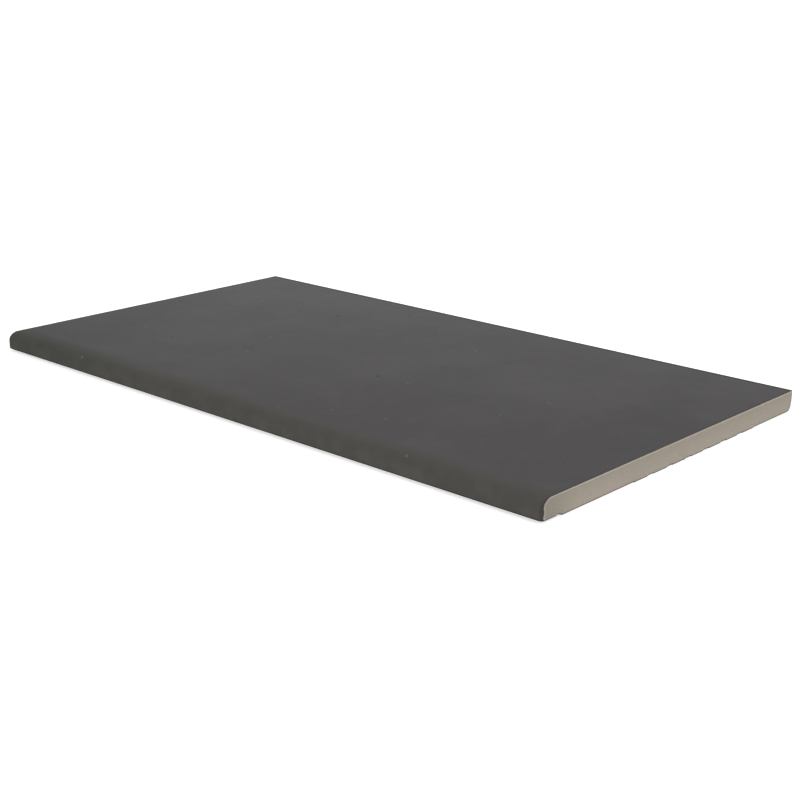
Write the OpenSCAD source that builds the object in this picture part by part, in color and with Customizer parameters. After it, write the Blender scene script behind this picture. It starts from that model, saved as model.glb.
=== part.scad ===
// Pool coping stone: one pressed and fired slab with a bullnose along one long edge.
// The nose points to -Y, the cut ends are at +X and -X, and the back edge is at +Y.
// Z = 0 is the plane that the pressed studs of the underside rest on.

/* [Slab] */
// Length along the pool's edge
slab_length = 600; // [450:1:750]
// Width from the front of the nose to the back edge
slab_width = 325; // [290:1:450]
// Height from the faces of the studs to the top
slab_height = 16.4; // [14:0.1:24]
// Radius of the four upright corners, seen from above
corner_radius = 1.5; // [0.5:0.5:6]
// Width of the fine bevel along the glazed edge of each cut end
end_bevel = 0.6; // [0.3:0.1:1.2]

/* [Nose] */
// Radius of the upper round of the nose
nose_top_radius = 10.5; // [6:0.5:13]
// Radius of the lower round of the nose
nose_low_radius = 1.5; // [0.5:0.5:4]
// Width of the band under the nose, from its front to the drip notch
nose_band = 16.5; // [14:0.5:26]
// How far the band under the nose lies above the bed
nose_lift = 1.1; // [0.6:0.1:1.4]

/* [Drip notch] */
// Width of the flat roof of the notch
notch_roof = 2; // [1:0.5:4]
// Depth of the notch, measured from the band under the nose
notch_depth = 0.5; // [0.3:0.1:1]
// Width of the slope from the notch down to the bed
notch_slope = 4; // [2:0.5:8]

/* [Back edge] */
// How far the foot of the back face lies in from its top
back_draft = 3; // [0.4:0.1:4]
// Width and height of the bevel under the back edge
back_bevel = 2.6; // [1:0.1:4]

/* [Pressed studs] */
// How far the studs stand out of the bed
stud_height = 0.5; // [0.3:0.1:1]
// Side of one square stud, at its foot
stud_side = 17; // [8:1:18]
// How far each side of a stud leans in towards its face
stud_draft = 0.4; // [0.1:0.1:0.6]
// Distance between the middles of neighbouring studs
stud_pitch = 24; // [20:1:30]
// Number of rows of studs across the width
stud_rows = 7; // [3:1:7]
// Distance from the front of the nose to the first row
stud_field_front = 104; // [50:1:140]

/* [Hidden] */
// The matt charcoal glaze of the top and the nose
glaze_colour = "#555354";
// Distance that a cutting shape reaches past the face it cuts
clear = 1;
// Facets of a full turn where a round has to be drawn as a polygon
round_facets = 96;

front_y = -slab_width / 2;
back_y = slab_width / 2;
bed_z = stud_height;
band_z = bed_z + nose_lift;
notch_z = band_z + notch_depth;
notch_y = front_y + nose_band;
foot_y = back_y - back_draft;
nose_centre = [front_y + nose_top_radius, slab_height - nose_top_radius];
stud_groove = stud_pitch - stud_side;
first_row_y = front_y + stud_field_front;
field_width = (stud_rows - 1) * stud_pitch + stud_side;
// Cross grooves on each side of the one at the middle, up to the last that may meet a cut end
half_grooves = ceil(slab_length / stud_pitch / 2);

// Outline with square corners in place of the two rounds of the nose
module square_section() {
    polygon([
        [front_y, band_z],
        [notch_y, band_z],
        [notch_y, notch_z],
        [notch_y + notch_roof, notch_z],
        [notch_y + notch_roof + notch_slope, bed_z],
        [foot_y - back_bevel, bed_z],
        [foot_y, bed_z + back_bevel],
        [back_y, slab_height],
        [front_y, slab_height]
    ]);
}

// What a round takes off a square corner: out is the way the corner points in y and z
module round_waste(corner, radius, out) {
    translate(corner)
        difference() {
            translate([out[0] > 0 ? -radius : -clear, out[1] > 0 ? -radius : -clear])
                square(radius + clear);
            translate([-out[0] * radius, -out[1] * radius])
                circle(r = radius, $fn = round_facets);
        }
}

module nose_section() {
    difference() {
        square_section();
        round_waste([front_y, slab_height], nose_top_radius, [-1, 1]);
        round_waste([front_y, band_z], nose_low_radius, [-1, -1]);
    }
}

// Bars along the length, which the cross grooves divide into studs. Their sides lean in towards Z = 0
module stud_bars() {
    for (row = [0 : stud_rows - 1])
        translate([first_row_y + row * stud_pitch, 0])
            polygon([
                [stud_draft, 0],
                [stud_side - stud_draft, 0],
                [stud_side, bed_z],
                [stud_side, bed_z + clear],
                [0, bed_z + clear],
                [0, bed_z]
            ]);
}

// A groove across the stud bars, with the same lean on its sides
module cross_groove(x) {
    lean = stud_draft / stud_height;
    roof = stud_groove / 2;
    mouth = roof + lean * (bed_z + clear);
    translate([x, first_row_y + field_width + clear, 0])
        rotate([90, 0, 0])
            linear_extrude(field_width + 2 * clear)
                polygon([[-mouth, -clear], [mouth, -clear], [roof, bed_z], [-roof, bed_z]]);
}

// What a plan radius takes off one upright corner: side is -1 or 1 in x and in y
module corner_waste(side_x, side_y) {
    translate([side_x * slab_length / 2, side_y * slab_width / 2, -clear])
        linear_extrude(slab_height + 2 * clear)
            round_waste([0, 0], corner_radius, [side_x, side_y]);
}

// What the bevel takes off along the straight top edge of one cut end
module straight_bevel_waste() {
    bar = end_bevel * sqrt(2);
    translate([0, 0, slab_height])
        rotate([0, 45, 0])
            cube([bar, slab_width + 2 * clear, bar], center = true);
}

// What the bevel takes off round the nose: one quarter of a ring that lies in the plane of the cut end
module nose_bevel_waste() {
    reach = nose_top_radius + clear;
    inner = nose_top_radius - end_bevel - clear;
    translate([0, nose_centre[0], nose_centre[1]])
        intersection() {
            rotate([0, 90, 0])
                rotate_extrude($fn = round_facets)
                    polygon([[inner, clear], [reach, clear], [reach, -end_bevel - clear]]);
            translate([-reach, -reach, 0])
                cube([2 * reach, reach, reach]);
        }
}

module end_bevel_waste(side_x) {
    translate([side_x * slab_length / 2, 0, 0])
        mirror([side_x > 0 ? 0 : 1, 0, 0]) {
            straight_bevel_waste();
            nose_bevel_waste();
        }
}

module coping_stone() {
    color(glaze_colour)
        difference() {
            translate([-slab_length / 2, 0, 0])
                rotate([90, 0, 90])
                    linear_extrude(slab_length)
                        union() {
                            nose_section();
                            stud_bars();
                        }
            for (i = [-half_grooves : half_grooves])
                cross_groove(i * stud_pitch);
            for (side_x = [-1, 1]) {
                end_bevel_waste(side_x);
                for (side_y = [-1, 1])
                    corner_waste(side_x, side_y);
            }
        }
}

coping_stone();
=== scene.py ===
# %% [markdown]
# # A pool coping stone in glazed porcelain
#
# A coping stone caps the wall of a swimming pool. This one is a single slab of porcelain, pressed from dry
# powder and fired. A matt charcoal glaze covers the top and runs over the rounded nose that points to the
# water. The two ends were cut with a wet saw after firing, so they show the bare grey-beige body.
#
# The CAD model holds the real sizes, and it loads first as a fixed frame. Everything below is drawn in that
# frame, in metres, with +X along the pool's edge, -Y out of the nose and +Z up.

# %% Load the fixed frame
import math

import bmesh
import bpy
import numpy as np
from mathutils import Matrix, Vector
from mathutils.bvhtree import BVHTree


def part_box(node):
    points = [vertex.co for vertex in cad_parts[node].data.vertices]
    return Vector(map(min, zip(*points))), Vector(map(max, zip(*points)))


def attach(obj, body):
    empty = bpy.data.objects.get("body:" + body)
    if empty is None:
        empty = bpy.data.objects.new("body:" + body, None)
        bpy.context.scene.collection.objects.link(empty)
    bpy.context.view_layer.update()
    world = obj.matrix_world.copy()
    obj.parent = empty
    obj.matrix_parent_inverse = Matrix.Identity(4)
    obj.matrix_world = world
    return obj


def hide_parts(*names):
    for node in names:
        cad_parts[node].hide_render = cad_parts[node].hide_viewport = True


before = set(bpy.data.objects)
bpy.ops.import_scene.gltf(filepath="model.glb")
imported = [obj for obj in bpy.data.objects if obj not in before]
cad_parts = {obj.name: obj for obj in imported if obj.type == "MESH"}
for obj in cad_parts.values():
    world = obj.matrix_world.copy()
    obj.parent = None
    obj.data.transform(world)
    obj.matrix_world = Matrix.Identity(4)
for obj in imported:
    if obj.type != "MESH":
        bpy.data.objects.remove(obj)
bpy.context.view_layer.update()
STONE_NODE = "coping_stone"
LOW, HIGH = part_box(STONE_NODE)

# %% [markdown]
# ## Sizes and colours
#
# Sizes on a drawing are in millimetres and Blender works in metres, so `mm` turns one into the other. Colours
# are picked as the hex values that a screen shows. A shader needs them linear, and `linear` does that.

# %% Helpers for sizes and colours
def mm(length):
    """Millimetres to metres."""
    return length / 1000


def linear(hex_colour):
    """An sRGB hex colour as the linear RGBA that a shader reads."""
    channels = [int(hex_colour[i : i + 2], 16) / 255 for i in (1, 3, 5)]
    return [c / 12.92 if c <= 0.04045 else ((c + 0.055) / 1.055) ** 2.4 for c in channels] + [1.0]


# %% [markdown]
# ## One function for nodes
#
# Materials and Geometry Nodes trees are both made of nodes, and every node needs the same three things: its
# kind, its inputs and its settings. `add` takes all of them. An input is a plain value, a socket, or simply
# another node, which stands for its first output. A tree then reads like a recipe, from top to bottom.

# %% Add a node
MATH = "ShaderNodeMath"
VECTOR = "ShaderNodeVectorMath"
RANGE = "ShaderNodeMapRange"
MIX = "ShaderNodeMix"
NOISE = "ShaderNodeTexNoise"


def add(tree, kind, inputs=(), **settings):
    """Adds a node. inputs is a list in the node's own order, or a dict by name."""
    node = tree.nodes.new(kind)
    for name, value in settings.items():
        setattr(node, name, value)
    if not isinstance(inputs, dict):
        inputs = dict(zip([i for i, socket in enumerate(node.inputs) if socket.enabled], inputs))
    for key, value in inputs.items():
        if isinstance(value, bpy.types.Node):
            value = next(socket for socket in value.outputs if socket.enabled)
        if isinstance(value, bpy.types.NodeSocket):
            tree.links.new(value, node.inputs[key])
        else:
            node.inputs[key].default_value = value
    return node


# %% [markdown]
# ## The camera
#
# The picture was taken from the front right, a little above the slab. The angles below are degrees round the
# stone and above the floor, and the lens is for a 36 mm sensor and a square picture. The camera stands back
# along its own line of sight, so moving it closer or further never changes the viewing angle.

# %% Camera
CAMERA_AZIMUTH = math.radians(42.55)
CAMERA_ELEVATION = math.radians(17.552)
CAMERA_ROLL = math.radians(0.245)
CAMERA_DISTANCE = mm(1203.7)
CAMERA_TARGET = Vector((mm(21.6), mm(11.45), mm(-19.31)))
CAMERA_LENS = 63.79
CAMERA_SENSOR = 36.0

scene = bpy.context.scene
back = Vector((
    math.sin(CAMERA_AZIMUTH) * math.cos(CAMERA_ELEVATION),
    -math.cos(CAMERA_AZIMUTH) * math.cos(CAMERA_ELEVATION),
    math.sin(CAMERA_ELEVATION),
))
level = Vector((math.cos(CAMERA_AZIMUTH), math.sin(CAMERA_AZIMUTH), 0))
upright = back.cross(level)
right = level * math.cos(CAMERA_ROLL) + upright * math.sin(CAMERA_ROLL)
up = upright * math.cos(CAMERA_ROLL) - level * math.sin(CAMERA_ROLL)

camera_data = bpy.data.cameras.new("camera")
camera_data.lens = CAMERA_LENS
camera_data.sensor_width = CAMERA_SENSOR
camera = bpy.data.objects.new("camera", camera_data)
turned = Matrix((right, up, back)).transposed().to_4x4()
camera.matrix_world = Matrix.Translation(CAMERA_TARGET + back * CAMERA_DISTANCE) @ turned
scene.collection.objects.link(camera)
scene.camera = camera
print("Camera stands at", [round(v, 3) for v in camera.matrix_world.translation])

# %% [markdown]
# ## Light and background
#
# Product photographs of dark tiles use soft, even light. The world gives a plain level from all sides, one
# large softbox above lights the top, one at the right lights the sawn end, and a weaker one in front keeps
# the nose from falling dark. Together they are about as bright as a plain white surround, so a colour
# renders about as it is written.
#
# The background should be white without putting more light on the stone. Light Path says what kind of ray
# is looking. Only rays from the camera, from a reflection or through glass see the world at full white, and
# all other rays see a quieter grey.

# %% World
WORLD_LEVEL = 0.62


def seen_rays(tree):
    """One for a ray from the camera, a reflection or glass, and zero for the rays that carry light."""
    path = add(tree, "ShaderNodeLightPath").outputs
    direct = add(tree, MATH, [path["Is Camera Ray"], path["Is Glossy Ray"]], operation="MAXIMUM")
    return add(tree, MATH, [direct, path["Is Transmission Ray"]], operation="MAXIMUM")


scene.view_settings.view_transform = "Standard"
world = bpy.data.worlds.new("white_studio")
world.use_nodes = True
scene.world = world
world.node_tree.nodes.clear()
seen = seen_rays(world.node_tree)
strength = add(world.node_tree, RANGE, {"Value": seen, "To Min": WORLD_LEVEL, "To Max": 1.0})
sky = add(world.node_tree, "ShaderNodeBackground", {"Color": linear("#ffffff"), "Strength": strength})
add(world.node_tree, "ShaderNodeOutputWorld", {"Surface": sky})
print("World level for the rays that carry light:", WORLD_LEVEL)


# %% Softboxes
def softbox(name, place, target, width, height, watts):
    """A rectangular lamp at place that faces target."""
    lamp = bpy.data.lights.new(name, "AREA")
    lamp.shape = "RECTANGLE"
    lamp.size = width
    lamp.size_y = height
    lamp.energy = watts
    box = bpy.data.objects.new(name, lamp)
    box.location = place
    box.rotation_euler = (Vector(target) - Vector(place)).to_track_quat("-Z", "Y").to_euler()
    scene.collection.objects.link(box)


softbox("softbox_above", place=(-0.9, 1.1, 1.7), target=(0, 0, 0), width=1.6, height=1.2, watts=14)
softbox("softbox_right", place=(1.9, -0.1, 0.9), target=(0.3, 0, 0), width=1.2, height=0.9, watts=13)
softbox("softbox_front", place=(0.7, -1.9, 0.6), target=(0.1, -0.16, 0), width=1.4, height=0.9, watts=8)

# %% [markdown]
# ## The floor
#
# The floor is a pale sweep. Under the lamps alone it would render a light grey, so for rays that see it
# directly it also glows a little. That lifts the empty floor to white and leaves the soft shadow under the
# stone in place.

# %% Floor
FLOOR_HALF = 9.0
FLOOR_GLOW = 0.62

floor_data = bpy.data.meshes.new("floor")
corners = [(x * FLOOR_HALF, y * FLOOR_HALF, 0) for x, y in ((-1, -1), (1, -1), (1, 1), (-1, 1))]
floor_data.from_pydata(corners, [], [(0, 1, 2, 3)])
floor = bpy.data.objects.new("floor", floor_data)
scene.collection.objects.link(floor)

paper = bpy.data.materials.new("matt white background paper")
paper.use_nodes = True
paper.node_tree.nodes.clear()
glow = add(paper.node_tree, RANGE, {"Value": seen_rays(paper.node_tree), "To Min": 0.0, "To Max": FLOOR_GLOW})
matt = add(paper.node_tree, "ShaderNodeBsdfDiffuse", {"Color": linear("#dcdcdc")})
shine = add(paper.node_tree, "ShaderNodeEmission", {"Color": linear("#ffffff"), "Strength": glow})
add(paper.node_tree, "ShaderNodeOutputMaterial",
    {"Surface": add(paper.node_tree, "ShaderNodeAddShader", [matt, shine])})
floor_data.materials.append(paper)
print("Floor spans", 2 * FLOOR_HALF, "m")

# %% [markdown]
# ## The section of the slab
#
# Seen from its end, the slab is one closed outline. It runs from the band under the nose, over the drip
# notch, along the bed, up the back and along the top to the nose. The outside width and height are read from
# the CAD model's box, and the other sizes are the CAD model's too. Only the round low on the nose is drawn half
# a millimetre wider than there.
#
# Nothing that is pressed and fired has a knife edge, so every corner gets a round. `rounded` walks round a
# list of corners and puts an arc in each. An arc has the same turn in every step, so it stays smooth however
# small it is.

# %% Sizes of the section
FRONT, BACK = LOW[1], HIGH[1]
TOP = HIGH[2]
BED = mm(0.5)
BAND = BED + mm(1.1)
NOTCH_ROOF = BAND + mm(0.5)
NOTCH_FRONT = FRONT + mm(16.5)
NOTCH_BACK = NOTCH_FRONT + mm(2)
SLOPE_END = NOTCH_BACK + mm(4)
BACK_FOOT = BACK - mm(3)
BACK_BEVEL = mm(2.6)
NOSE_ROUND = mm(10.5)
NOSE_LOW_ROUND = mm(2)
print("Section in mm:", round(1000 * (BACK - FRONT), 1), "wide,", round(1000 * TOP, 1), "high")


# %% Walk round the corners
def rounded(corners):
    """Points round a closed outline, as a list of (place, outward direction, side).

    A corner is (y, z, radius, steps in its arc, function that gives the stops along the side that follows).
    A whole side is its corner's number, and inside an arc the number runs from the last side to the next.
    """
    count = len(corners)
    spots = [Vector(corner[:2]) for corner in corners]
    ways = [(spots[(i + 1) % count] - spots[i]).normalized() for i in range(count)]
    turns = [math.atan2(a.cross(b), a.dot(b)) for a, b in zip([ways[-1]] + ways[:-1], ways)]
    reaches = [corner[2] * math.tan(abs(turn) / 2) for corner, turn in zip(corners, turns)]
    points = []
    for i, (_, _, radius, steps, stops) in enumerate(corners):
        come, go, turn = ways[i - 1], ways[i], turns[i]
        outward = Vector((come.y, -come.x))
        spoke = outward * math.copysign(radius, turn)
        centre = spots[i] - come * reaches[i] - spoke
        for step in range(steps + 1):
            swing = Matrix.Rotation(turn * step / steps, 2)
            points.append((centre + swing @ spoke, swing @ outward, (i - 1 + step / steps) % count))
        start = spots[i] + go * reaches[i]
        end = spots[(i + 1) % count] - go * reaches[(i + 1) % count]
        points += [(start + go * stop, Vector((go.y, -go.x)), i) for stop in stops(start, end)]
    return points


# %% [markdown]
# The straight sides need points too, or there would be nothing to chip or press. Most of them are spaced
# evenly. Along the bed the points sit where the studs begin and end, four to each side of a stud, so that the
# pressed edges come out crisp with few faces.

# %% Places along the straight sides
STUD_PITCH = mm(24)
STUD_SIDE = mm(17)
STUD_ROWS = 7
FIRST_ROW = FRONT + mm(104) + STUD_SIDE / 2
STUD_EDGE_LINES = [mm(v) for v in (-0.1, 0.1, 0.3, 0.5)]
PLAIN_BED_SPACING = mm(6)


def evenly(spacing):
    """A function that gives stops along a side, about spacing apart."""
    def stops(start, end):
        length = (end - start).length
        count = max(1, round(length / spacing))
        return [length * i / count for i in range(1, count)]
    return stops


def stud_lines(centres):
    """Lines at both edges and through the middle of each stud and of the groove after it."""
    half = STUD_SIDE / 2
    lines = []
    for centre in centres:
        lines += [centre - half + line for line in STUD_EDGE_LINES]
        lines.append(centre)
        lines += [centre + half - line for line in reversed(STUD_EDGE_LINES)]
        lines.append(centre + STUD_PITCH / 2)
    return lines


def along_the_bed(start, end):
    """Stops for the plain bed, the stud field and the plain bed behind it."""
    field = stud_lines([FIRST_ROW + row * STUD_PITCH for row in range(STUD_ROWS)])[:-1]
    front_length, back_length = field[0] - start.x, end.x - field[-1]
    front_count = round(front_length / PLAIN_BED_SPACING)
    back_count = round(back_length / PLAIN_BED_SPACING)
    front_bed = [start.x + front_length * i / front_count for i in range(1, front_count)]
    back_bed = [field[-1] + back_length * i / back_count for i in range(1, back_count)]
    return [y - start.x for y in front_bed + field + back_bed]


# %% The outline
BAND_SIDE, BED_SIDE, BACK_SIDE, TOP_SIDE, FRONT_SIDE = 0, 4, 6, 7, 8
outline = rounded([
    (FRONT, BAND, NOSE_LOW_ROUND, 8, evenly(mm(1.8))),
    (NOTCH_FRONT, BAND, mm(0.25), 3, evenly(mm(1))),
    (NOTCH_FRONT, NOTCH_ROOF, mm(0.2), 2, evenly(mm(1))),
    (NOTCH_BACK, NOTCH_ROOF, mm(1), 2, evenly(mm(1))),
    (SLOPE_END, BED, mm(2), 3, along_the_bed),
    (BACK_FOOT - BACK_BEVEL, BED, mm(1.2), 3, evenly(mm(1))),
    (BACK_FOOT, BED + BACK_BEVEL, mm(1.2), 3, evenly(mm(2))),
    (BACK, TOP, mm(0.35), 4, evenly(mm(3))),
    (FRONT, TOP, NOSE_ROUND, 16, evenly(mm(1))),
])
print("Outline has", len(outline), "points")

# %% [markdown]
# ## What each point of the outline knows
#
# The glaze was sprayed from above. It covers the top and the nose, thins out under the nose and only just
# turns the back edge. The cutting and pressing steps below need to know which points they may touch, and how
# much. The bevel of the cut ends is deepest along the top. Under the slab it is worn up across the cut face,
# two to three times as far as it is deep. All of this is stored on the outline as attributes, and the sweep
# carries them along the whole slab.

# %% Where the glaze, the bevel and the studs are
GLAZE_FADE = mm(7)
GLAZE_ON_BACK = mm(1.2)
GLAZE_AT_BACK_TOP = 1.4
BEVEL_ON_NOSE, BEVEL_BELOW, BEVEL_AT_TIGHT_CORNERS = 0.5, 0.55, 0.3
BEVEL_GROWS_OVER = mm(9)
RIM_RISE, BAND_RISE, BACK_RISE = 3.2, 2.6, 2.2
BACK_RISE_GROWS_OVER = mm(4)
BAND_RISE_SPEED = 1.5
# How much of the painted shade on the lower rim goes up the back
RIM_SHADE_ON_BACK = 0.8
# Where the painted shade under the nose starts and how far round it grows
UNDER_NOSE_SHADE_START, UNDER_NOSE_SHADE_GROWS_OVER = 0.1, 0.3
TUCK_FADE = mm(9)


def between(start, end, share):
    """From start to end as share goes from zero to one, and no further."""
    return start + (end - start) * min(1.0, max(0.0, share))


def glaze_on(place, side):
    """One where the glaze is whole, zero on bare body, and between them where it thins out."""
    if TOP_SIDE <= side <= FRONT_SIDE:
        return 1.0
    if side > FRONT_SIDE or side == BAND_SIDE:
        return max(0.0, 1 - max(0.0, place.x - FRONT - NOSE_LOW_ROUND) / GLAZE_FADE)
    if side >= BACK_SIDE:
        return between(0.0, 1.0, GLAZE_AT_BACK_TOP - (TOP - place.y) / GLAZE_ON_BACK)
    return 0.0


def bevel_share(place, side):
    """How much of the full bevel the sawn edge has at a point of the outline."""
    if abs(place.x - NOTCH_FRONT) < mm(1) or BACK_SIDE < side < TOP_SIDE:
        return BEVEL_AT_TIGHT_CORNERS
    if side == TOP_SIDE:
        return between(BEVEL_AT_TIGHT_CORNERS, 1.0, (BACK - place.x) / BEVEL_GROWS_OVER)
    if side > FRONT_SIDE:
        return between(BEVEL_ON_NOSE, BEVEL_BELOW, side - FRONT_SIDE)
    if side > TOP_SIDE:
        return between(1.0, BEVEL_ON_NOSE, side - TOP_SIDE)
    return BEVEL_BELOW


def rim_rise(place, side):
    """How much wider across the cut end the bevel is than it is deep: it is worn most under the slab."""
    if abs(place.x - NOTCH_FRONT) < mm(1) or BACK_SIDE < side <= FRONT_SIDE:
        return 1.0
    if side > FRONT_SIDE:
        return between(1.0, BAND_RISE, BAND_RISE_SPEED * (side - FRONT_SIDE))
    if side == BAND_SIDE:
        return BAND_RISE
    if side == BACK_SIDE:
        return between(1.0, BACK_RISE, (TOP - place.y) / BACK_RISE_GROWS_OVER)
    return between(RIM_RISE, BACK_RISE, side - BACK_SIDE + 1)


def in_rim_shade(side):
    """One under the slab and a little less up its back, where the worn edge of a cut end is painted dark as
    shade.
    """
    if side <= BACK_SIDE - 0.5:
        return 1.0
    return RIM_SHADE_ON_BACK if side < TOP_SIDE else 0.0


def in_under_nose_shade(side):
    """One on the band and low on the nose, which face the floor and are painted dark as shade."""
    if side == BAND_SIDE:
        return 1.0
    return between(0.0, 1.0, (side - FRONT_SIDE - UNDER_NOSE_SHADE_START) / UNDER_NOSE_SHADE_GROWS_OVER)


def tuck(place, side):
    """One low on the nose, where the round under it follows the plan corner, and zero from there on."""
    if side > FRONT_SIDE:
        return 1.0
    if side == BAND_SIDE:
        return between(1.0, 0.0, (place.x - FRONT - NOSE_LOW_ROUND) / TUCK_FADE)
    return 0.0


def nose_turn(side):
    """How far round the nose a point is: zero on the top, one on the front and below."""
    return 1.0 if side == BAND_SIDE else between(0.0, 1.0, side - TOP_SIDE)


def in_stud_field(place, side):
    """One on the points of the bed between the first and the last line of the studs."""
    half = STUD_SIDE / 2 + mm(0.2)
    last_row = FIRST_ROW + (STUD_ROWS - 1) * STUD_PITCH
    return float(side == BED_SIDE and FIRST_ROW - half < place.x < last_row + half)


print("Glazed points:", sum(glaze_on(place, side) > 0 for place, _, side in outline))


# %% The outline as a ring of edges
def store(mesh, name, kind, field, values):
    """Stores one attribute on a mesh's points."""
    mesh.attributes.new(name, kind, "POINT").data.foreach_set(field, np.ravel(values))


outline_mesh = bpy.data.meshes.new("outline")
# A sweep along +X lays a profile's X along -Y and its Y along -Z, so it is drawn turned by half a turn.
ring = [(-place.x, -place.y, 0) for place, _, _ in outline]
outline_mesh.from_pydata(ring, [(i, (i + 1) % len(ring)) for i in range(len(ring))], [])
spots = [(place, side) for place, _, side in outline]
store(outline_mesh, "outward", "FLOAT_VECTOR", "vector", [(0, way.x, way.y) for _, way, _ in outline])
store(outline_mesh, "glaze", "FLOAT", "value", [glaze_on(*spot) for spot in spots])
store(outline_mesh, "bevel_share", "FLOAT", "value", [bevel_share(*spot) for spot in spots])
store(outline_mesh, "rim_rise", "FLOAT", "value", [rim_rise(*spot) for spot in spots])
store(outline_mesh, "rim_share", "FLOAT", "value", [in_rim_shade(side) for _, side in spots])
store(outline_mesh, "tuck", "FLOAT", "value", [tuck(*spot) for spot in spots])
store(outline_mesh, "under_nose_shade", "FLOAT", "value", [in_under_nose_shade(side) for _, side in spots])
store(outline_mesh, "nose_turn", "FLOAT", "value", [nose_turn(side) for _, side in spots])
store(outline_mesh, "stud_field", "FLOAT", "value", [in_stud_field(*spot) for spot in spots])
print("Attributes:", [a.name for a in outline_mesh.attributes if not a.name.startswith(".")])

# %% [markdown]
# ## The stations along the slab
#
# The sweep makes one ring of the outline at each station of its rail. The stations follow the studs in the
# same way as the points of the bed do, and they crowd together at the two cut ends, where the bevel is
# narrower than a millimetre. The cut ends pass through the middle of a stud.

# %% Stations
LENGTH = HIGH[0] - LOW[0]
END_STATIONS = [mm(v) for v in (0, 0.04, 0.12, 0.28, 0.44, 0.54, 0.64, 0.78, 1.1, 1.5, 2.3, 3.6, 5.5)]
columns = math.ceil(LENGTH / STUD_PITCH / 2)
inner = stud_lines([(column + 0.5) * STUD_PITCH for column in range(-columns - 1, columns + 1)])
inner = [x for x in inner if abs(x) < LENGTH / 2 - END_STATIONS[-1] - mm(1)]
stations = sorted([-LENGTH / 2 + d for d in END_STATIONS] + inner + [LENGTH / 2 - d for d in END_STATIONS])

rail_mesh = bpy.data.meshes.new("rail")
rail_mesh.from_pydata([(x, 0, 0) for x in stations], [(i, i + 1) for i in range(len(stations) - 1)], [])
rail = bpy.data.objects.new("rail", rail_mesh)
scene.collection.objects.link(rail)
print("Stations:", len(stations), "and so about", 2 * len(stations) * len(outline), "triangles")

# %% [markdown]
# ## The two finishes
#
# Only two things show on this stone: the glaze, and the body under it. Patterns are set by their real size. A
# noise texture's scale is the number of cells in a metre, so a scale of one over a length draws patches of
# about that length. Every noise below reads Object coordinates, which are the stone's own metres.
#
# ### Fired porcelain body
#
# The body is pressed from dry clay, feldspar and sand, and fired until it no longer soaks up water. It is
# matt, a warm grey-beige, and clouded where the powder was mixed unevenly. It is a little darker under the
# glaze, which bled into it, and it is painted darker near the nose, as shade. Fine light and dark grains of
# sand show in it. Where the saw went through, its blade left shallow arcs. The worn lower edge of each cut end
# is painted near black, as painted shade where it faces the floor.

# %% Patches of a real size
def patches(tree, size, low, high, detail=2.0, seed=0.0):
    """Soft patches of about the given size: zero where the noise is under low, one where it is over high."""
    where = add(tree, "ShaderNodeTexCoord").outputs["Object"]
    noise = add(tree, NOISE, {"Vector": where, "W": seed, "Scale": 1 / size, "Detail": detail},
                noise_dimensions="4D")
    return add(tree, RANGE, {"Value": noise, "From Min": low, "From Max": high},
               interpolation_type="SMOOTHSTEP")


# %% The body's colour, roughness and relief
BODY_TONES = ["#a49b8f", "#9e988b", "#a69b92"]
BODY_UNDER_GLAZE = "#978f84"
# Painted shade on the cut ends near the nose
BODY_IN_NOSE_SHADE = "#8e877c"
BODY_LIGHT_GRAIN, BODY_DARK_GRAIN = "#bfb8ab", "#7a7367"
LIGHT_GRAIN_SHARE, DARK_GRAIN_SHARE = 0.35, 0.4
BODY_ROUGH, GRAIN_ROUGH = 0.9, 0.78
PRESSED_RELIEF = 0.05
# Painted shade: the worn lower edge of a cut end faces the floor and is painted near black
LOWER_RIM_SHADE = "#2f2a24"
UNDER_GLAZE_START, UNDER_GLAZE_FULL = mm(3), mm(15)
NOSE_SHADE_START, NOSE_SHADE_END = FRONT + mm(6), FRONT + mm(42)
BLADE_RADIUS = mm(150)
BLADE_FEED = mm(1.1)
BLADE_RELIEF = 0.012
SAWN_FACING_START, SAWN_FACING_FULL = 0.9, 0.97


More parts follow.
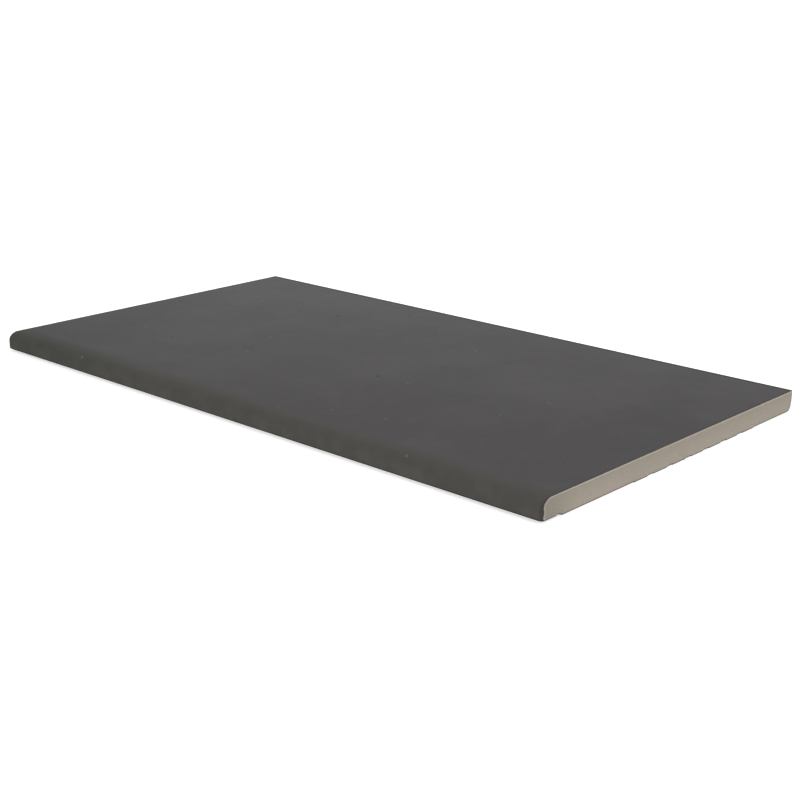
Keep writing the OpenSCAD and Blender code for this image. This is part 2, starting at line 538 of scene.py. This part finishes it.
def body_look(tree):
    """The sockets of the bare body's colour and roughness, and its relief in millimetres."""
    greener = patches(tree, mm(26), 0.42, 0.66, seed=1.0)
    pinker = patches(tree, mm(34), 0.46, 0.68, seed=2.0)
    tone = add(tree, MIX, [greener, linear(BODY_TONES[0]), linear(BODY_TONES[1])], data_type="RGBA")
    tone = add(tree, MIX, [pinker, tone, linear(BODY_TONES[2])], data_type="RGBA")
    place = add(tree, "ShaderNodeSeparateXYZ", [add(tree, "ShaderNodeTexCoord").outputs["Object"]]).outputs
    up = add(tree, RANGE, {"Value": place["Z"], "From Min": UNDER_GLAZE_START, "From Max": UNDER_GLAZE_FULL})
    tone = add(tree, MIX, [up, tone, linear(BODY_UNDER_GLAZE)], data_type="RGBA")
    # Painted shade: the cut ends are darker near the nose
    near_nose = add(tree, RANGE,
                    {"Value": place["Y"], "From Min": NOSE_SHADE_END, "From Max": NOSE_SHADE_START},
                    interpolation_type="SMOOTHSTEP")
    tone = add(tree, MIX, [near_nose, tone, linear(BODY_IN_NOSE_SHADE)], data_type="RGBA")
    # The grains are about half a millimetre, drawn twice as large so that they show in a picture of the slab
    light = patches(tree, mm(1.1), 0.62, 0.72, detail=1.0, seed=3.0)
    dark = patches(tree, mm(1.3), 0.64, 0.74, detail=1.0, seed=4.0)
    light_share = add(tree, MATH, [light, LIGHT_GRAIN_SHARE], operation="MULTIPLY")
    dark_share = add(tree, MATH, [dark, DARK_GRAIN_SHARE], operation="MULTIPLY")
    tone = add(tree, MIX, [light_share, tone, linear(BODY_LIGHT_GRAIN)], data_type="RGBA")
    tone = add(tree, MIX, [dark_share, tone, linear(BODY_DARK_GRAIN)], data_type="RGBA")
    # Painted shade on the worn lower edge of the cut ends
    rim_shade = add(tree, "ShaderNodeAttribute", attribute_name="lower_rim").outputs["Fac"]
    tone = add(tree, MIX, [rim_shade, tone, linear(LOWER_RIM_SHADE)], data_type="RGBA")
    rough = add(tree, RANGE, {"Value": light, "To Min": BODY_ROUGH, "To Max": GRAIN_ROUGH})
    pressed = patches(tree, mm(2.2), 0.3, 0.7, detail=4.0, seed=5.0)
    relief = add(tree, MATH, [pressed, PRESSED_RELIEF, saw_marks(tree)], operation="MULTIPLY_ADD")
    return tone, rough, relief


# %% The arcs of the saw
def saw_marks(tree):
    """Relief in millimetres on the two cut ends: arcs of the blade, one for each step of its feed."""
    coordinates = add(tree, "ShaderNodeTexCoord").outputs
    place = add(tree, "ShaderNodeSeparateXYZ", [coordinates["Object"]])
    facing = add(tree, "ShaderNodeSeparateXYZ", [coordinates["Normal"]])
    height_squared = add(tree, MATH, [place.outputs["Z"], 2.0], operation="POWER")
    under_root = add(tree, MATH, [BLADE_RADIUS ** 2, height_squared], operation="SUBTRACT")
    sagitta = add(tree, MATH, [under_root], operation="SQRT")
    along = add(tree, MATH, [place.outputs["Y"], sagitta], operation="SUBTRACT")
    phase = add(tree, MATH, [along, 2 * math.pi / BLADE_FEED], operation="MULTIPLY")
    wave = add(tree, MATH, [phase], operation="SINE")
    depth = add(tree, MATH, [wave, patches(tree, mm(9), 0.35, 0.7, seed=6.0)], operation="MULTIPLY")
    sideways = add(tree, MATH, [facing.outputs["X"]], operation="ABSOLUTE")
    on_ends = add(tree, RANGE,
                  {"Value": sideways, "From Min": SAWN_FACING_START, "From Max": SAWN_FACING_FULL})
    shallow = add(tree, MATH, [depth, BLADE_RELIEF], operation="MULTIPLY")
    return add(tree, MATH, [shallow, on_ends], operation="MULTIPLY")


# %% Finish a material
GLASSY_IOR = 1.5
MATT_SPECULAR = 0.22


def finish_material(tree, colour, rough, relief):
    """Puts the three looks on one Principled shader, with the relief as a bump in millimetres."""
    bump = add(tree, "ShaderNodeBump", {"Strength": 1.0, "Distance": mm(1), "Height": relief})
    shader = add(tree, "ShaderNodeBsdfPrincipled", {
        "Base Color": colour,
        "Roughness": rough,
        "IOR": GLASSY_IOR,
        "Specular IOR Level": MATT_SPECULAR,
        "Normal": bump,
    })
    add(tree, "ShaderNodeOutputMaterial", {"Surface": shader})


body_material = bpy.data.materials.new("fired porcelain body, bare")
body_material.use_nodes = True
body_material.node_tree.nodes.clear()
finish_material(body_material.node_tree, *body_look(body_material.node_tree))
print("Body material has", len(body_material.node_tree.nodes), "nodes")

# %% [markdown]
# ### Matt charcoal glaze
#
# The glaze is sprayed on and fired with the body. It is glass filled with fine crystals, which scatter the
# light and keep it matt. Its colour clouds softly over a hand's width, from thicker and thinner spray. It is
# painted paler towards the back left corner, a painted sheen where the top is seen most nearly edge on, and
# painted darker towards the left end of the nose, as shade. Where the top turns over into the nose it is
# painted darker as shade, and lower round the nose it is painted lighter, as painted light, with an olive
# cast. The band and the low round under the nose are painted near black, as shade. It carries a few pale
# specks and pinholes.

# %% The glaze's tones
GLAZE_TONES = ["#403e3f", "#4a4849"]
# Painted sheen, added towards the back left corner of the top
PAINTED_SHEEN_ADDS = "#2e2e2e"
# Painted shade where the top turns over into the nose
PAINTED_SHADE_AT_TURN = "#42413e"
# Painted light with an olive cast: lower round the nose the glaze is lighter than on the top
LIT_NOSE_TONES = ["#4e4c49", "#55534d"]
# Painted shade on the band and low on the nose, which face the floor
GLAZE_UNDER_NOSE_SHADE = "#1c1b18"
GLAZE_EDGE, GLAZE_BACK_EDGE = "#403d38", "#343332"
# Painted shade: multiplies the glaze towards the left end of the nose
LEFT_NOSE_SHADE_KEEPS = "#eaf0ec"
EDGE_WIDTH = mm(4)
WIDE_SHARE, SMALL_SHARE = 0.7, 0.3
# Where the painted sheen and the painted shade at the left end of the nose lie
SHEEN_SLANT, LEFT_NOSE_SHADE_SLANT = -1.2, 0.8
SHEEN_START, SHEEN_END = mm(250), mm(-500)
LEFT_NOSE_SHADE_START, LEFT_NOSE_SHADE_END = mm(-220), mm(-380)
TURN_SHADE_START, TURN_SHADE_FULL = FRONT + mm(25), FRONT + mm(11)
BACK_EDGE_START, BACK_EDGE_FULL = BACK - mm(5.5), BACK - mm(2)


def spray_clouds(tree):
    """Wide and small clouds together, from zero to one."""
    wide = patches(tree, mm(70), 0.36, 0.66, detail=3.0, seed=11.0)
    small = patches(tree, mm(14), 0.3, 0.7, detail=3.0, seed=12.0)
    wide_part = add(tree, MATH, [wide, WIDE_SHARE], operation="MULTIPLY")
    return add(tree, MATH, [small, SMALL_SHARE, wide_part], operation="MULTIPLY_ADD")


def glaze_tone(tree, cloud):
    """The glaze's colour without specks: clouds, painted sheen and shade on the top and nose, and the edges."""
    tone = add(tree, MIX, [cloud, linear(GLAZE_TONES[0]), linear(GLAZE_TONES[1])], data_type="RGBA")
    place = add(tree, "ShaderNodeSeparateXYZ", [add(tree, "ShaderNodeTexCoord").outputs["Object"]]).outputs
    # Painted sheen: the glaze is paler towards the back left corner
    across = add(tree, MATH, [place["Y"], SHEEN_SLANT, place["X"]], operation="MULTIPLY_ADD")
    painted_sheen = add(tree, RANGE, {"Value": across, "From Min": SHEEN_START, "From Max": SHEEN_END})
    tone = add(tree, MIX, [painted_sheen, tone, linear(PAINTED_SHEEN_ADDS)], data_type="RGBA", blend_type="ADD")
    # Painted shade where the top turns over into the nose
    shade_at_turn = add(tree, RANGE, {"Value": place["Y"], "From Min": TURN_SHADE_START, "From Max": TURN_SHADE_FULL},
                  interpolation_type="SMOOTHSTEP")
    tone = add(tree, MIX, [shade_at_turn, tone, linear(PAINTED_SHADE_AT_TURN)], data_type="RGBA")
    # Painted light: the tone grows lighter, with an olive cast, as the nose turns to face the front
    turn = add(tree, "ShaderNodeAttribute", attribute_name="nose_turn").outputs["Fac"]
    run = patches(tree, mm(16), 0.4, 0.66, detail=3.0, seed=16.0)
    lit_nose = add(tree, MIX, [run, linear(LIT_NOSE_TONES[0]), linear(LIT_NOSE_TONES[1])], data_type="RGBA")
    tone = add(tree, MIX, [turn, tone, lit_nose], data_type="RGBA")
    # Painted shade: the glaze is darker towards the left end of the nose
    along = add(tree, MATH, [place["Y"], LEFT_NOSE_SHADE_SLANT, place["X"]], operation="MULTIPLY_ADD")
    left_nose_shade = add(tree, RANGE, {"Value": along, "From Min": LEFT_NOSE_SHADE_START, "From Max": LEFT_NOSE_SHADE_END})
    tone = add(tree, MIX, [left_nose_shade, tone, linear(LEFT_NOSE_SHADE_KEEPS)], data_type="RGBA", blend_type="MULTIPLY")
    # Painted shade under the nose
    under_nose_shade = add(tree, "ShaderNodeAttribute", attribute_name="under_nose_shade").outputs["Fac"]
    tone = add(tree, MIX, [under_nose_shade, tone, linear(GLAZE_UNDER_NOSE_SHADE)], data_type="RGBA")
    edge = add(tree, "ShaderNodeAttribute", attribute_name="edge_distance").outputs["Fac"]
    drawn = add(tree, RANGE, {"Value": edge, "From Min": EDGE_WIDTH, "From Max": 0.0},
                interpolation_type="SMOOTHERSTEP")
    tone = add(tree, MIX, [drawn, tone, linear(GLAZE_EDGE)], data_type="RGBA")
    at_back = add(tree, RANGE, {"Value": place["Y"], "From Min": BACK_EDGE_START, "From Max": BACK_EDGE_FULL},
                  interpolation_type="SMOOTHSTEP")
    return add(tree, MIX, [at_back, tone, linear(GLAZE_BACK_EDGE)], data_type="RGBA")


# %% The glaze's colour, roughness and relief
GLAZE_SPECK, GLAZE_PINHOLE = "#6f6d6b", "#333231"
SPECK_SHARE = 0.4
GLAZE_ROUGH_THIN, GLAZE_ROUGH_THICK = 0.84, 0.9
PEEL_HEIGHT, HOLE_DEPTH = 0.01, 0.03


def glaze_look(tree):
    """The sockets of the glaze's colour and roughness, and its relief in millimetres."""
    cloud = spray_clouds(tree)
    tone = glaze_tone(tree, cloud)
    specks = patches(tree, mm(6), 0.83, 0.86, detail=0.0, seed=13.0)
    holes = patches(tree, mm(6), 0.84, 0.87, detail=0.0, seed=14.0)
    speck_share = add(tree, MATH, [specks, SPECK_SHARE], operation="MULTIPLY")
    tone = add(tree, MIX, [speck_share, tone, linear(GLAZE_SPECK)], data_type="RGBA")
    tone = add(tree, MIX, [holes, tone, linear(GLAZE_PINHOLE)], data_type="RGBA")
    rough = add(tree, RANGE, {"Value": cloud, "To Min": GLAZE_ROUGH_THIN, "To Max": GLAZE_ROUGH_THICK})
    peel = patches(tree, mm(2.5), 0.3, 0.7, detail=3.0, seed=15.0)
    sunk = add(tree, MATH, [holes, -HOLE_DEPTH], operation="MULTIPLY")
    relief = add(tree, MATH, [peel, PEEL_HEIGHT, sunk], operation="MULTIPLY_ADD")
    return tone, rough, relief


# %% Glaze over body
GLAZE_THICKNESS = 0.12
SAW_LINE_WANDER = mm(0.12)
SAW_LINE_START, SAW_LINE_END = mm(0.06), mm(0.16)
SPRAY_WANDER = 0.3
SPRAY_START, SPRAY_END = 0.55, 0.75
CHIP_BARES = mm(0.5)
# Painted highlight: the bare bevel beside the saw line is painted lighter
BEVEL_HIGHLIGHT, BEVEL_HIGHLIGHT_SHARE = "#b3aba1", 0.5

glaze_material = bpy.data.materials.new("matt charcoal glaze")
glaze_material.use_nodes = True
tree = glaze_material.node_tree
tree.nodes.clear()
beyond_saw = add(tree, "ShaderNodeAttribute", attribute_name="beyond_saw").outputs["Fac"]
chipped_off = add(tree, "ShaderNodeAttribute", attribute_name="chip").outputs["Fac"]
sprayed = add(tree, "ShaderNodeAttribute", attribute_name="glaze").outputs["Fac"]
# The saw leaves an uneven line, chips push it back, and the spray thins out under the nose
uneven = patches(tree, mm(1.5), 0.3, 0.7, detail=3.0, seed=21.0)
line = add(tree, MATH, [uneven, SAW_LINE_WANDER, beyond_saw], operation="MULTIPLY_ADD")
line = add(tree, MATH, [chipped_off, -CHIP_BARES, line], operation="MULTIPLY_ADD")
left_by_saw = add(tree, RANGE, {"Value": line, "From Min": SAW_LINE_START, "From Max": SAW_LINE_END})
spray = add(tree, MATH, [uneven, SPRAY_WANDER, sprayed], operation="MULTIPLY_ADD")
left_by_spray = add(tree, RANGE, {"Value": spray, "From Min": SPRAY_START, "From Max": SPRAY_END})
cover = add(tree, MATH, [left_by_saw, left_by_spray], operation="MULTIPLY")
bare, coat = body_look(tree), glaze_look(tree)
# Painted highlight on the bare bevel and chips beside the saw line
highlight_share = add(tree, RANGE, {"Value": left_by_saw, "To Min": BEVEL_HIGHLIGHT_SHARE, "To Max": 0.0})
highlighted_bare = add(tree, MIX, [highlight_share, bare[0], linear(BEVEL_HIGHLIGHT)], data_type="RGBA")
colour = add(tree, MIX, [cover, highlighted_bare, coat[0]], data_type="RGBA")
rough = add(tree, MIX, [cover, bare[1], coat[1]])
coat_height = add(tree, MATH, [coat[2], GLAZE_THICKNESS], operation="ADD")
relief = add(tree, MIX, [cover, bare[2], coat_height])
finish_material(tree, colour, rough, relief)
print("Glaze material has", len(tree.nodes), "nodes")

# %% [markdown]
# ## Press, saw and bevel the slab with Geometry Nodes
#
# The real slab is made in a press and finished with a saw, and the tree follows the same order. It sweeps the
# outline along the rail, takes the fine bevel and the plan corners off the two ends, presses the studs into
# the bed, and then knocks small chips out of the sawn edge of the glaze. Each of these is a rule, such as how
# deep a point lies behind the nearer cut end, so nodes can work it out for every point at once. The sizes are
# named inputs, and changing one of them changes the whole slab.

# %% Inputs of the tree
SIZES = {
    "Half length": LENGTH / 2,
    "Front": FRONT,
    "Back": BACK,
    "Bevel": mm(0.6),
    "Plan radius": mm(3.5),
    "Stud pitch": STUD_PITCH,
    "Stud side": STUD_SIDE,
    "Stud height": BED,
    "Stud corner": mm(0.6),
    "First row": FIRST_ROW,
    "Chip depth": mm(0.35),
    "Seed": 4.0,
}
press = bpy.data.node_groups.new("press_and_saw", "GeometryNodeTree")
press.interface.new_socket("Geometry", in_out="OUTPUT", socket_type="NodeSocketGeometry")
press.interface.new_socket("Geometry", in_out="INPUT", socket_type="NodeSocketGeometry")
press.interface.new_socket("Rail", in_out="INPUT", socket_type="NodeSocketObject")
for name in SIZES:
    press.interface.new_socket(name, in_out="INPUT", socket_type="NodeSocketFloat")
given = add(press, "NodeGroupInput").outputs
print("Inputs:", [socket.name for socket in given if socket.name])

# %% Sweep the outline along the rail
profile = add(press, "GeometryNodeMeshToCurve", {"Mesh": given["Geometry"]})
rail_shape = add(press, "GeometryNodeObjectInfo", {"Object": given["Rail"]}).outputs["Geometry"]
rail_line = add(press, "GeometryNodeMeshToCurve", {"Mesh": rail_shape})
level_rail = add(press, "GeometryNodeSetCurveNormal", {"Curve": rail_line}, mode="Z_UP")
swept = add(press, "GeometryNodeCurveToMesh",
            {"Curve": level_rail, "Profile Curve": profile, "Fill Caps": True})
print("Swept along", rail.name)

# %% Bevel the edge of the cut ends
SOFTNESS = mm(0.06)

place = add(press, "ShaderNodeSeparateXYZ", [add(press, "GeometryNodeInputPosition")]).outputs
sideways = add(press, MATH, [place["X"]], operation="ABSOLUTE")
depth = add(press, MATH, [given["Half length"], sideways], operation="SUBTRACT")
outward = add(press, "GeometryNodeInputNamedAttribute", {"Name": "outward"}, data_type="FLOAT_VECTOR")
share = add(press, "GeometryNodeInputNamedAttribute", {"Name": "bevel_share"}, data_type="FLOAT")
width = add(press, MATH, [given["Bevel"], share], operation="MULTIPLY")
over = add(press, MATH, [width, depth], operation="SUBTRACT")
# Half of a number plus the root of its square is the number or zero, and a little under the root softens it
square = add(press, MATH, [over, over, SOFTNESS ** 2], operation="MULTIPLY_ADD")
twice = add(press, MATH, [over, add(press, MATH, [square], operation="SQRT")], operation="ADD")
rise = add(press, "GeometryNodeInputNamedAttribute", {"Name": "rim_rise"}, data_type="FLOAT")
once = add(press, MATH, [twice, -0.5], operation="MULTIPLY")
inset = add(press, MATH, [once, rise], operation="MULTIPLY")
inward = add(press, VECTOR, {0: outward, "Scale": inset}, operation="SCALE")
bevelled = add(press, "GeometryNodeSetPosition", {"Geometry": swept, "Offset": inward})
print("Bevel of", 1000 * SIZES["Bevel"], "mm")

# %% [markdown]
# Seen from above, the four corners are rounded too. The CAD model has them at 1.5 mm. They look softer than that
# in a picture of the stone, so they are drawn at 3.5 mm here. The front and the back are pushed in to follow
# the corner's circle. Low on the nose the whole round moves in with it, which `tuck` asks for.

# %% Round the four plan corners
gap = add(press, MATH, [given["Plan radius"], depth], operation="SUBTRACT")
gap = add(press, MATH, [gap, 0.0], operation="MAXIMUM")
gap_squared = add(press, MATH, [gap, gap], operation="MULTIPLY")
radius_squared = add(press, MATH, [given["Plan radius"], given["Plan radius"]], operation="MULTIPLY")
kept_squared = add(press, MATH, [radius_squared, gap_squared], operation="SUBTRACT")
kept_root = add(press, MATH, [add(press, MATH, [kept_squared, 0.0], operation="MAXIMUM")], operation="SQRT")
cut = add(press, MATH, [given["Plan radius"], kept_root], operation="SUBTRACT")
front_limit = add(press, MATH, [given["Front"], cut], operation="ADD")
back_limit = add(press, MATH, [given["Back"], cut], operation="SUBTRACT")
tucked = add(press, "GeometryNodeInputNamedAttribute", {"Name": "tuck"}, data_type="FLOAT")
kept_y = add(press, MATH, [cut, tucked, place["Y"]], operation="MULTIPLY_ADD")
kept_y = add(press, MATH, [kept_y, front_limit], operation="MAXIMUM")
kept_y = add(press, MATH, [kept_y, back_limit], operation="MINIMUM")
kept = add(press, "ShaderNodeCombineXYZ", {"X": place["X"], "Y": kept_y, "Z": place["Z"]})
cornered = add(press, "GeometryNodeSetPosition", {"Geometry": bevelled, "Position": kept})
print("Plan corners of", 1000 * SIZES["Plan radius"], "mm")

# %% [markdown]
# ### The pressed studs
#
# The die presses a grid of square studs into the underside, so that the adhesive can grip. All studs are
# alike, so one rule serves them all. FRACT folds the whole bed into a single cell with a stud in its middle.
# The distance to a square with rounded corners then says where the stud is, and a smooth step from its edge
# inwards gives it sloping sides that leave the die cleanly.

# %% Press the studs
from_row = add(press, MATH, [place["Y"], given["First row"]], operation="SUBTRACT")
rows = add(press, MATH, [from_row, given["Stud pitch"]], operation="DIVIDE")
rows = add(press, MATH, [rows, 0.5], operation="ADD")
columns_along = add(press, MATH, [place["X"], given["Stud pitch"]], operation="DIVIDE")
half_side = add(press, MATH, [given["Stud side"], 0.5], operation="MULTIPLY")
core = add(press, MATH, [half_side, given["Stud corner"]], operation="SUBTRACT")
beyond = []
for cells in (columns_along, rows):
    folded = add(press, MATH, [add(press, MATH, [cells], operation="FRACT"), 0.5], operation="SUBTRACT")
    from_middle = add(press, MATH, [folded], operation="ABSOLUTE")
    real = add(press, MATH, [from_middle, given["Stud pitch"]], operation="MULTIPLY")
    beyond.append(add(press, MATH, [real, core], operation="SUBTRACT"))
outer_parts = [add(press, MATH, [part, 0.0], operation="MAXIMUM") for part in beyond]
outer = add(press, "ShaderNodeCombineXYZ", outer_parts)
outer_length = add(press, VECTOR, [outer], operation="LENGTH").outputs["Value"]
inner_depth = add(press, MATH, [add(press, MATH, beyond, operation="MAXIMUM"), 0.0], operation="MINIMUM")
to_core = add(press, MATH, [outer_length, inner_depth], operation="ADD")
to_edge = add(press, MATH, [to_core, given["Stud corner"]], operation="SUBTRACT")
pressed = add(press, RANGE, {
    "Value": to_edge, "From Min": -STUD_EDGE_LINES[0], "From Max": -STUD_EDGE_LINES[-1], "To Max": -1.0,
}, interpolation_type="SMOOTHSTEP")
field = add(press, "GeometryNodeInputNamedAttribute", {"Name": "stud_field"}, data_type="FLOAT")
fall = add(press, MATH, [pressed, given["Stud height"]], operation="MULTIPLY")
fall = add(press, MATH, [fall, field], operation="MULTIPLY")
fall_down = add(press, "ShaderNodeCombineXYZ", {"Z": fall})
studded = add(press, "GeometryNodeSetPosition", {"Geometry": cornered, "Offset": fall_down})
print("Studs:", STUD_ROWS, "rows, one every", 1000 * STUD_PITCH, "mm")

# %% [markdown]
# ### Chips along the sawn edge
#
# Glaze is glass, and a saw blade that leaves it knocks out small shells. They are a few millimetres long and
# a fraction of a millimetre deep, and they sit only on the edge itself. Noise decides where: a high threshold
# cuts most of it away, and the peaks that are left become chips.

# %% Knock out the chips
CHIP_SPACING = mm(7)
CHIP_REACH = mm(1.0)
CHIP_THRESHOLD = 0.6
CHIP_FULL = 0.74

noise = add(press, NOISE, {"W": given["Seed"], "Scale": 1 / CHIP_SPACING, "Detail": 1.0},
            noise_dimensions="4D")
peaks = add(press, RANGE, {"Value": noise, "From Min": CHIP_THRESHOLD, "From Max": CHIP_FULL},
            interpolation_type="SMOOTHSTEP")
near_edge = add(press, RANGE, {"Value": depth, "From Max": CHIP_REACH, "To Min": 1.0, "To Max": 0.0},
                interpolation_type="SMOOTHSTEP")
glazed = add(press, "GeometryNodeInputNamedAttribute", {"Name": "glaze"}, data_type="FLOAT")
chip = add(press, MATH, [peaks, near_edge], operation="MULTIPLY")
chip = add(press, MATH, [chip, glazed], operation="MULTIPLY")
chip_depth = add(press, MATH, [chip, given["Chip depth"]], operation="MULTIPLY")
chip_inset = add(press, MATH, [chip_depth, -1.0], operation="MULTIPLY")
chip_way = add(press, VECTOR, {0: outward, "Scale": chip_inset}, operation="SCALE")
chipped = add(press, "GeometryNodeSetPosition", {"Geometry": studded, "Offset": chip_way})
print("Chips about", 1000 * CHIP_SPACING, "mm apart and up to", 1000 * SIZES["Chip depth"], "mm deep")

# %% [markdown]
# ### What the materials need to know
#
# The saw and the bevel took the glaze off the ends, though it stays on the rounded corners at the front of
# the nose and under it. `beyond_saw` is the distance of a point from that line, and it is negative on the bare
# bevel. `chip` says how deep a chip is there. `edge_distance` is the same distance from the sawn edge of the
# glaze, but zero on the bevel, and the lower rim share marks the worn edge under a cut end, which is painted
# dark as shade. All are plain distances or shares, so they stay exact between two stations.

# %% Store distances for the materials
GLAZE_WRAP = -0.95
# Where the painted shade of the lower rim is full and where it ends on the bevel
RIM_SHADE_FULL, RIM_SHADE_END = mm(0.14), mm(0.9)

faces = add(press, "ShaderNodeSeparateXYZ", [outward]).outputs
forward_or_down = add(press, MATH, [faces["Y"], faces["Z"]], operation="MINIMUM")
wrapped = add(press, MATH, [forward_or_down, GLAZE_WRAP], operation="MULTIPLY", use_clamp=True)
unwrapped = add(press, MATH, [1.0, wrapped], operation="SUBTRACT")
bare_width = add(press, MATH, [given["Bevel"], unwrapped], operation="MULTIPLY")
beyond_saw = add(press, MATH, [depth, bare_width], operation="SUBTRACT")
edge_distance = add(press, MATH, [beyond_saw, 0.0], operation="MAXIMUM")
# The lower rim share is painted shade, only on the worn bevel under the cut ends
rim_shade_in = add(press, RANGE, {"Value": depth, "From Max": RIM_SHADE_FULL})
rim_shade_out = add(press, RANGE, {"Value": depth, "From Min": RIM_SHADE_END, "From Max": RIM_SHADE_FULL})
rim_shade_mask = add(press, "GeometryNodeInputNamedAttribute", {"Name": "rim_share"}, data_type="FLOAT")
rim_shade = add(press, MATH, [rim_shade_in, rim_shade_out], operation="MULTIPLY")
rim_shade = add(press, MATH, [rim_shade, rim_shade_mask], operation="MULTIPLY")
kept_values = {"beyond_saw": beyond_saw, "chip": chip, "edge_distance": edge_distance, "lower_rim": rim_shade}
measured = chipped
for name, value in kept_values.items():
    measured = add(press, "GeometryNodeStoreNamedAttribute",
                   {"Geometry": measured, "Name": name, "Value": value},
                   data_type="FLOAT", domain="POINT")
print("Attributes for the materials: beyond_saw, chip, edge_distance, lower_rim, glaze, bead, nose_turn")

# %% Give each face its material
CAP_DEPTH = mm(0.001)
GLAZE_TRACE = 0.01

real_mesh = add(press, "GeometryNodeRealizeInstances", {"Geometry": measured})
not_sawn = add(press, "FunctionNodeCompare", [depth, CAP_DEPTH],
               data_type="FLOAT", operation="GREATER_THAN")
all_bare = add(press, "GeometryNodeSetMaterial", {"Geometry": real_mesh, "Material": body_material})
has_glaze = add(press, "FunctionNodeCompare", [glazed, GLAZE_TRACE],
                data_type="FLOAT", operation="GREATER_THAN")
takes_glaze = add(press, "FunctionNodeBooleanMath", [has_glaze, not_sawn], operation="AND")
dressed = add(press, "GeometryNodeSetMaterial",
              {"Geometry": all_bare, "Selection": takes_glaze, "Material": glaze_material})
add(press, "NodeGroupOutput", [dressed])
print("Tree has", len(press.nodes), "nodes")

# %% [markdown]
# ## Make the slab
#
# The outline carries the modifier. Its inputs are set by their identifiers, before anything is worked out.
# The evaluated result is then copied to a plain mesh, and the outline and the rail have done their work.

# %% Run the tree
outline_object = bpy.data.objects.new("outline", outline_mesh)
scene.collection.objects.link(outline_object)
modifier = outline_object.modifiers.new("press_and_saw", "NODES")
modifier.node_group = press
identifiers = {item.name: item.identifier for item in press.interface.items_tree if item.in_out == "INPUT"}
modifier[identifiers["Rail"]] = rail
for name, size in SIZES.items():
    modifier[identifiers[name]] = size

graph = bpy.context.evaluated_depsgraph_get()
stone_mesh = bpy.data.meshes.new_from_object(outline_object.evaluated_get(graph))
stone_mesh.name = "glazed_coping_stone"
outline_object.modifiers.clear()
bpy.data.objects.remove(outline_object)
bpy.data.objects.remove(rail)

# %% Shade it
SHARP_ANGLE = math.radians(38)
FACES_SIDEWAYS = 0.999

stone_mesh.set_sharp_from_angle(angle=SHARP_ANGLE)
# The two sawn faces are shaded flat, or the round of their edge would show right across them
for face in stone_mesh.polygons:
    face.use_smooth = abs(face.normal.x) < FACES_SIDEWAYS
stone = bpy.data.objects.new("glazed_coping_stone", stone_mesh)
scene.collection.objects.link(stone)
triangles = sum(len(face.vertices) - 2 for face in stone_mesh.polygons)
print("Slab:", len(stone_mesh.vertices), "points,", triangles, "triangles")

# %% Measure it against the CAD model
check = bmesh.new()
check.from_mesh(stone_mesh)
open_edges = sum(not edge.is_manifold for edge in check.edges)
volume = check.calc_volume(signed=True)
check.free()
cad = BVHTree.FromObject(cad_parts[STONE_NODE], graph)
away = [cad.find_nearest(vertex.co)[3] for vertex in stone_mesh.vertices]
mean_away = sum(away) / len(away)
print("Open edges:", open_edges, "volume in cm3:", round(volume * 1e6, 1))
print("Mean distance to the CAD model in mm:", round(1000 * mean_away, 4))
print("Greatest distance to it in mm:", round(1000 * max(away), 3))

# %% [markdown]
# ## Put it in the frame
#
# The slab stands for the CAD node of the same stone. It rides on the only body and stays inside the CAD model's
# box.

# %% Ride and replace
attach(stone, "root")
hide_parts(STONE_NODE)
